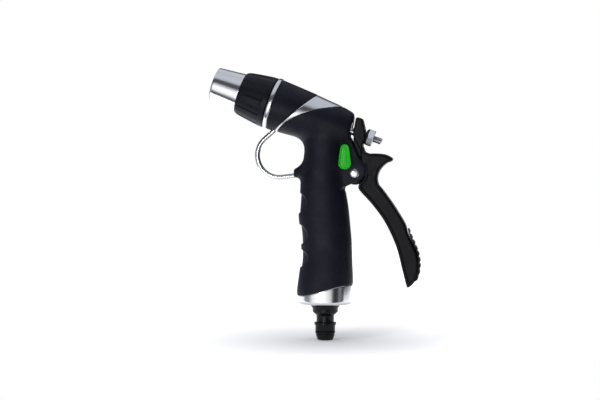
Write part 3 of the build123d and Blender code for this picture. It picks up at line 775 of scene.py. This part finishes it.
# ---------------------------------------------------------------- lever
LEVER_OUTLINE = curve(
    [(-29.8, 137.6), (-32.4, 135.3), (-39.9, 135.2), (-46.6, 134.6), (-51.2, 132.7), (-53.2, 131.0)]
    + [(-52.3, 129.0), (-48.6, 127.5), (-43.8, 122.7), (-41.5, 117.0), (-42.0, 111.3), (-45.7, 106.5)]
    + [(-53.3, 96.1), (-61.0, 83.9), (-64.0, 78.0), (-64.8, 73.8), (-68.5, 65.6), (-72.1, 57.4)]
    + [(-73.6, 48.8), (-72.6, 39.8), (-70.2, 34.4), (-66.6, 31.0), (-64.4, 31.6), (-61.1, 43.8)]
    + [(-57.3, 59.0), (-53.4, 69.5), (-47.7, 80.9), (-42.0, 89.4), (-34.4, 98.9), (-28.8, 105.0)]
    + [(-26.7, 108.4), (-27.5, 111.9), (-29.7, 114.1), (-31.3, 116.8), (-31.9, 120.4), (-31.5, 124.2)]
    + [(-29.3, 129.0)],
    closed=True,
    steps=4,
)
ARM_OUTLINE = curve(
    [(-30.4, 131.0), (-28.6, 137.0), (-25.0, 144.4), (-22.7, 148.2), (-22.5, 151.6), (-23.4, 157.0)]
    + [(-24.3, 161.4), (-25.0, 163.2), (-27.2, 163.2), (-29.6, 161.9), (-30.8, 158.0), (-31.7, 153.8)]
    + [(-32.1, 150.2), (-31.9, 146.6), (-30.4, 143.4), (-29.8, 140.4), (-30.2, 136.8), (-33.6, 134.6)]
    + [(-34.6, 127.0)],
    closed=True,
    steps=4,
)
HUB_R = 9.35
HUB_OUTLINE = [*arc(PIVOT, HUB_R, -110, 62, 30), (-22.6, 134.0), (-22.5, 147.6), (-30.0, 141.0)]
HUB_OUTLINE += [(-32.0, 136.0), (-34.0, 112.0)]
CHANNEL = [(-66.0, 37.5), (-70.0, 49.0), (-67.2, 57.5), (-63.0, 67.5), (-57.0, 79.5), (-48.5, 91.6)]
CHANNEL += [(-42.0, 99.8), (-37.0, 104.0), (-20.0, 92.0), (-40.0, 60.0), (-52.0, 30.0)]
STEM_SLOT = [(-38.0, 144.2), (-18.0, 146.4), (-18.0, 157.4), (-38.0, 152.6)]
LEVER_HALF, CHANNEL_HALF, ARM_HALF, HUB_HALF, STEM_SLOT_HALF = 8.5, 6.3, 7.3, 4.45, 3.3
PIN_HOLE_R, NOTCH_R = 2.6, 1.85
PANEL_DEPTH = 0.55  # of the sunk face on each side of the lever
lever_outline, arm_outline, hub_outline = outline(LEVER_OUTLINE), outline(ARM_OUTLINE), outline(HUB_OUTLINE)
channel_outline, slot_for_stem = outline(CHANNEL), outline(STEM_SLOT)


def lever_field(x, y, z):
    wide = np.abs(y)
    side = lever_outline(x, z)
    panel = PANEL_DEPTH * step_between(-side, 1.9, 2.7) * (1 - step_between(z, 117.0, 121.0))
    edge = 1.0 + 1.6 * step_between(-x, 32.0, 38.0)
    grip = smooth_max(side, wide - LEVER_HALF + panel, edge)
    grip = smooth_max(grip, -within(channel_outline(x, z), wide - CHANNEL_HALF), 0.8)
    arm = smooth_max(arm_outline(x, z), wide - ARM_HALF, 1.4)
    hub = within(hub_outline(x, z), wide - HUB_HALF)
    holes = [np.hypot(x - PIVOT[0], z - PIVOT[1]) - PIN_HOLE_R]
    for swing in (0.0, -LEVER_SWING):  # a notch for the lock at each end of the swing
        arm_x, arm_z = LOCK - PIVOT
        notch_x = PIVOT[0] + arm_x * math.cos(swing) - arm_z * math.sin(swing)
        notch_z = PIVOT[1] + arm_x * math.sin(swing) + arm_z * math.cos(swing)
        holes.append(np.hypot(x - notch_x, z - notch_z) - NOTCH_R)
    holes.append(within(slot_for_stem(x, z), wide - STEM_SLOT_HALF))
    return smooth_max(either(smooth_min(grip, arm, 2.0), hub), -either(*holes), 0.4)


lever_mesh = surface_net(lever_field, (-76, -9.5, 29), (-12, 9.5, 166), FINE)
finish_piece("lever_casting", *lever_mesh, lever_paint, "lever", "lever", "lever_paint")

PAD_SEAT = [(-65.0, 77.2), (-66.2, 73.0), (-69.4, 65.0), (-72.4, 57.0), (-73.0, 48.8), (-72.0, 39.8)]
PAD_BACK = [(-65.4, 77.0), (-67.2, 71.8), (-70.4, 64.6), (-73.3, 57.4), (-74.6, 48.8), (-73.7, 40.3)]
PAD_ENDS = (-70.2, 35.2), (-71.5, 35.4)
PAD_HALF = 8.2
RIBS, RIB_HEIGHT = 9, 0.95


def ribbed(points):
    """The pad's back with rounded ribs standing on it."""
    lengths = np.concatenate([[0], np.cumsum(np.linalg.norm(np.diff(points, axis=0), axis=1))])
    even = np.linspace(0, lengths[-1], 160)
    p = np.stack([np.interp(even, lengths, points[:, i]) for i in (0, 1)], axis=1)
    run = np.gradient(p, axis=0)
    run /= np.linalg.norm(run, axis=1)[:, None]
    outward = np.stack([run[:, 1], -run[:, 0]], axis=1)
    outward *= np.sign(-outward[:, 0:1])
    phase = even / lengths[-1] * RIBS % 1.0
    rise = RIB_HEIGHT * (0.65 - np.abs(2 * phase - 1) ** 2.2)
    return p + outward * rise[:, None]


pad_seat, pad_back = curve([*PAD_SEAT, PAD_ENDS[0]]), curve([*PAD_BACK, PAD_ENDS[1]])
pad_outline = outline([*ribbed(pad_back), *pad_seat[::-1]])


def pad_field(x, y, z):
    return smooth_max(pad_outline(x, z), np.abs(y) - PAD_HALF, 1.3)


pad_mesh = surface_net(pad_field, (-77, -9, 33), (-63, 9, 80), 0.4)
finish_piece("ribbed_pad", *pad_mesh, pad_rubber, "lever", "lever_pad", "pad_rubber")

# ---------------------------------------------------------------- pin, clip and lock
PIN = [(-11.0, 0.0), (-11.0, 2.1), (-10.6, 2.5), (-10.4, 2.5), (-10.4, 2.0), (-9.5, 2.0), (-9.5, 2.5)]
PIN += [(9.42, 2.5), (9.42, 3.7), (9.75, 3.75), (10.15, 3.4), (10.45, 2.6), (10.62, 1.5), (10.68, 0.0)]
finish_piece("pin", *on_the_pin(PIN, segments=96), trim_metal, "body", "pivot_pin", "steel", angle=50)

CLIP = [(-10.3, 2.05), (-10.3, 4.3), (-9.6, 4.3), (-9.6, 2.05)]
CLIP_RELIEF = 1.1  # how far the inside steps back between the clip's lugs


def three_lugs(along, radius, around):
    """Opens the clip's inside between three lugs."""
    lug = step_between(np.cos(3 * around), 0.2, 0.7)
    return along, np.where(radius < 3.0, radius + CLIP_RELIEF * (1 - lug), radius)


clip_mesh = on_the_pin(rounded(CLIP, 0.12), shape=three_lugs)
finish_piece("clip", *clip_mesh, spring_steel, "body", "pin_clip", "spring_steel", angle=40)

KNOB_OUTLINE = curve(
    [(-4.9, -0.6), (-4.3, -2.7), (-2.7, -4.3), (0.0, -4.9), (2.7, -4.3), (4.3, -2.7), (4.9, -0.6)]
    + [(4.6, 3.0), (3.95, 8.0), (3.4, 11.6), (2.3, 13.7), (0.0, 14.45), (-2.3, 13.7), (-3.4, 11.6)]
    + [(-3.95, 8.0), (-4.6, 3.0)],
    closed=True,
    steps=4,
)
knob_outline = outline(KNOB_OUTLINE + LOCK)
KNOB_IN, KNOB_OUT, KNOB_FINE = 10.9, 13.8, 0.22
KNOB_BOSS_R, KNOB_BOSS_IN = 4.2, 9.75


def knob_field(side):
    """A lock knob with a raised rim, on the left (1) or right (-1)."""

    def field(x, y, z):
        out = y * side
        flat = knob_outline(x, z)
        top = KNOB_OUT - 0.75 * step_between(-flat, 0.75, 1.35) + 0.25 * step_between(-flat, 1.6, 4.2)
        plate = smooth_max(flat, within(out - top, KNOB_IN - out), 0.9)
        round_boss = np.hypot(x - LOCK[0], z - LOCK[1]) - KNOB_BOSS_R
        return either(plate, within(round_boss, out - KNOB_IN - 0.5, KNOB_BOSS_IN - out))

    return field


for side, name in ((1, "left"), (-1, "right")):
    near, far = sorted((9.4 * side, 14.3 * side))
    knob_low, knob_high = (LOCK[0] - 5.6, near, LOCK[1] - 5.6), (LOCK[0] + 5.6, far, LOCK[1] + 15.2)
    knob_mesh = surface_net(knob_field(side), knob_low, knob_high, KNOB_FINE)
    finish_piece(f"knob_{name}", *knob_mesh, lock_plastic, "lock", f"lock_knob_{name}", "lock_green")

# ---------------------------------------------------------------- hose connector, as (height, radius)
CONNECTOR = [(-11.9, 4.6), (-11.9, 6.2), (-8.3, 7.45), (-7.0, 7.5), (-7.0, 6.05), (-4.8, 6.05)]
CONNECTOR += [(-4.8, 7.85), (0.0, 7.85), (0.0, 8.7), (2.0, 8.7), (2.0, 7.0), (7.4, 7.0), (10.3, 10.15)]
CONNECTOR += [(13.2, 10.2), (16.3, 12.6), (16.4, 10.4), (31.0, 10.4), (31.0, 9.1), (29.4, 9.1)]
CONNECTOR += [(29.4, 7.6), (15.0, 7.6), (11.0, 4.6)]
connector_mesh = on_the_inlet(rounded(CONNECTOR, 0.4))
finish_piece(
    "connector", *connector_mesh, black_plastic, "body", "hose_connector", "black_plastic", angle=55
)

O_RING_CENTRE, O_RING_HALF = np.array([-5.9, 7.05]), 0.97
o_ring = arc(O_RING_CENTRE, O_RING_HALF, 0, 345, 24)
finish_piece("o_ring", *on_the_inlet(o_ring), seal_rubber, "body", "nose_o_ring", "seal_rubber")

# ---------------------------------------------------------------- return spring
COILS, COIL_R, COIL_WIRE, COIL_STEPS, WIRE_SIDES = 6, 6.2, 0.6, 24, 12
SPRING_BACK, SPRING_FRONT = -11.2, 7.3


def coil_mesh():
    """A round wire wound about the barrel's axis."""
    turns = np.linspace(0, FULL_TURN * COILS, COIL_STEPS * COILS)
    along = np.linspace(SPRING_BACK, SPRING_FRONT, len(turns))
    outward = np.cos(turns)[:, None] * ABOVE + np.sin(turns)[:, None] * np.cross(AHEAD, ABOVE)
    centres = CROSSING + along[:, None] * AHEAD + COIL_R * outward
    phi = np.linspace(0, FULL_TURN, WIRE_SIDES, endpoint=False)[None, :, None]
    points = centres[:, None, :] + COIL_WIRE * (np.cos(phi) * outward[:, None, :] + np.sin(phi) * AHEAD)
    faces = strip_faces(len(turns), WIRE_SIDES, closed=False).tolist() + end_caps(len(turns), WIRE_SIDES)
    return points.reshape(-1, 3), faces


spring = finish_piece("spring", *coil_mesh(), spring_steel, "body", "return_spring", "spring_steel")
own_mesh(spring)

# ---------------------------------------------------------------- CAD pieces that keep their shape
KEPT = {
    "front_spigot": (brass, "brass"),
    "gland_nut": (brass, "brass"),
    "valve_nut": (brass, "brass"),
    "collar_nut": (brass, "brass"),
    "spigot_seal": (seal_rubber, "seal_rubber"),
    "gland_seal": (seal_rubber, "seal_rubber"),
    "valve_washer": (seal_rubber, "seal_rubber"),
    "tip_seal": (seal_rubber, "seal_rubber"),
    "inlet_washer": (seal_rubber, "seal_rubber"),
    "inlet_strainer": (strainer_plastic, "strainer_plastic"),
    "lock_shaft": (steel, "steel"),
}
for node, (material, slot) in KEPT.items():
    kept = frame["nodes"][node]
    kept.data.materials.clear()
    kept.data.materials.append(material)

# ---------------------------------------------------------------- studio
WHITE = (1, 1, 1)
FLOOR_DROP = 0.0002  # below the part's lowest point, in metres
FLOOR_CORNERS = [(-0.32, -1.1, 0), (0.36, -1.1, 0), (0.36, 0.08, 0), (-0.32, 0.08, 0)]
PAINTED_GLOW_AND_SHADE = (0.2, 0.85)  # the floor's painted glow near the part and further off; the low glow near the part paints a shade under it
PAINTED_SHADE_SPAN = (0.03, 0.2)  # distances from the origin over which the painted glow rises and the painted shade fades, in metres


def studio_floor():
    """A small pale floor with a painted glow that brightens with distance, until it is as white as the room;
    the low glow near the part paints a soft shadow under it.
    """
    n = Finish("studio_floor")
    distance = n.add("ShaderNodeVectorMath", operation="LENGTH")
    n.feed(distance.inputs[0], n.place)
    n.settings(
        Base_Color=n.mix(n.spread(n.noise(3.0), 0, 1), (0.86, 0.86, 0.86), (0.90, 0.90, 0.90)),
        Emission_Color=WHITE,
        # Painted light: the floor's emission is lowest near the part, which paints a soft shadow under it,
        # and rises to white further off.
        Emission_Strength=n.spread(distance.outputs["Value"], *PAINTED_GLOW_AND_SHADE, *PAINTED_SHADE_SPAN),
        Roughness=0.8,
        Specular_IOR_Level=0.1,
    )
    mesh = bpy.data.meshes.new("floor")
    mesh.from_pydata(FLOOR_CORNERS, [], [(0, 1, 2, 3)])
    mesh.materials.append(n.material)
    floor = bpy.data.objects.new("floor", mesh)
    floor.location.z = cad_box[0][2] - FLOOR_DROP
    bpy.context.scene.collection.objects.link(floor)


def softbox(name, place, width, height, power, shows):
    """A rectangular light that faces the part. shows says whether gloss reflects it."""
    light = bpy.data.lights.new(name, "AREA")
    light.shape, light.size, light.size_y, light.energy = "RECTANGLE", width, height, power
    lamp = bpy.data.objects.new(name, light)
    lamp.location = place
    lamp.rotation_mode = "QUATERNION"
    lamp.rotation_quaternion = (Vector(place) - LIT_POINT).to_track_quat("Z", "Y")
    lamp.visible_glossy = shows
    bpy.context.scene.collection.objects.link(lamp)


# The room round the part, as (degrees, brightness). AROUND goes round it by compass, from 0 on its left
# side and + towards the tip. LOW shades that by height, and UPWARD takes over above the part.
AROUND = [(-180, 0.9), (-172, 0.6), (-160, 0.32), (-146, 0.36), (-120, 0.42), (-104, 0.40), (-92, 0.12)]
AROUND += [(-66, 0.03), (-56, 0.26), (-49, 0.24), (-41, 0.03), (-24, 0.03), (-14, 0.9), (4, 1.3)]
AROUND += [(34, 1.2), (48, 0.42), (64, 0.24), (79, 0.34), (99, 0.50), (121, 0.5), (146, 0.38)]
AROUND += [(160, 0.32), (172, 0.6), (180, 0.9)]
LOW = [(-90, 0.9), (-72, 0.85), (-60, 0.28), (-44, 0.3), (-31, 1.0), (-5, 1.0), (4, 0.6), (12, 0.5)]
UPWARD = [(0, 0.3), (12, 0.16), (20, 0.08), (36, 0.10), (47, 0.62), (62, 0.70), (90, 0.62)]
TAKE_OVER = (6, 18)  # heights between which UPWARD takes over
SPOT = (-0.975, -0.998)  # where a white spot opens straight off the part's right side, as the direction's Y
COOL, COOL_BELOW = (0.86, 0.90, 1.0), 0.9  # tint of the darker bands, and the brightness where it ends


def brightness_ramp(room, value, stops):
    """Turns a value into brightness through (value, brightness) stops."""
    low, high = stops[0][0], stops[-1][0]
    ramp = room.add("ShaderNodeValToRGB")
    room.feed(ramp.inputs["Fac"], room.spread(value, 0, 1, low, high))
    elements = ramp.color_ramp.elements
    for index, (at, bright) in enumerate(stops):
        share = (at - low) / (high - low)
        element = elements[index] if index < 2 else elements.new(share)
        element.position = share
        tint = COOL if bright < COOL_BELOW else WHITE
        element.color = (*(bright * part for part in tint), 1)
    return ramp.outputs["Color"]


def studio_room():
    """White to the camera, and bands of light and shade to what reflects it."""
    world = bpy.data.worlds.new("studio")
    world.use_nodes = True
    bpy.context.scene.world = world
    room = Nodes(world.node_tree)
    split = room.add("ShaderNodeSeparateXYZ")
    room.feed(split.inputs[0], room.add("ShaderNodeTexCoord").outputs["Generated"])
    east, north, up = (split.outputs[axis] for axis in "XYZ")
    compass = room.calculate("DEGREES", room.calculate("ARCTAN2", east, north))
    height = room.calculate("DEGREES", room.calculate("ARCSINE", up))
    round_it, low_down = brightness_ramp(room, compass, AROUND), brightness_ramp(room, height, LOW)
    level = room.mix(1.0, round_it, low_down, blend="MULTIPLY")
    bands = room.mix(room.spread(height, 0, 1, *TAKE_OVER), level, brightness_ramp(room, height, UPWARD))
    lit = room.mix(room.spread(north, 0, 1, *SPOT), bands, WHITE)
    to_camera = room.add("ShaderNodeLightPath").outputs["Is Camera Ray"]
    room.feed(room.tree.nodes["Background"].inputs["Color"], room.mix(to_camera, lit, WHITE))


def aimed_camera(azimuth, elevation, distance, lens):
    """A camera that looks at AIM from a direction in degrees, where azimuth 0 looks along +Y."""
    turn, rise = math.radians(azimuth), math.radians(elevation)
    back = Vector((math.sin(turn) * math.cos(rise), -math.cos(turn) * math.cos(rise), math.sin(rise)))
    camera = bpy.data.objects.new("camera", bpy.data.cameras.new("camera"))
    camera.data.sensor_width, camera.data.lens = 36.0, lens
    camera.data.clip_start, camera.data.clip_end = 0.01, 50.0
    camera.location = AIM + back * distance
    camera.rotation_mode = "QUATERNION"
    camera.rotation_quaternion = (-back).to_track_quat("-Z", "Y")
    bpy.context.scene.collection.objects.link(camera)
    bpy.context.scene.camera = camera


LIT_POINT = Vector((0.01, 0.0, 0.10))
AIM = Vector((0.0201, 0.0, 0.0984))
studio_floor()
softbox("key_box", (0.50, 0.90, 0.95), 0.35, 0.6, 4.0, shows=False)
softbox("spark_box", (0.25, 1.15, 0.03), 0.05, 0.5, 1.3, shows=True)
softbox("top_box", (0.1, -0.1, 1.3), 1.2, 0.8, 4.0, shows=False)
studio_room()
aimed_camera(azimuth=187.0, elevation=2.0, distance=1.1, lens=83.5)
bpy.context.scene.view_settings.view_transform = "Standard"
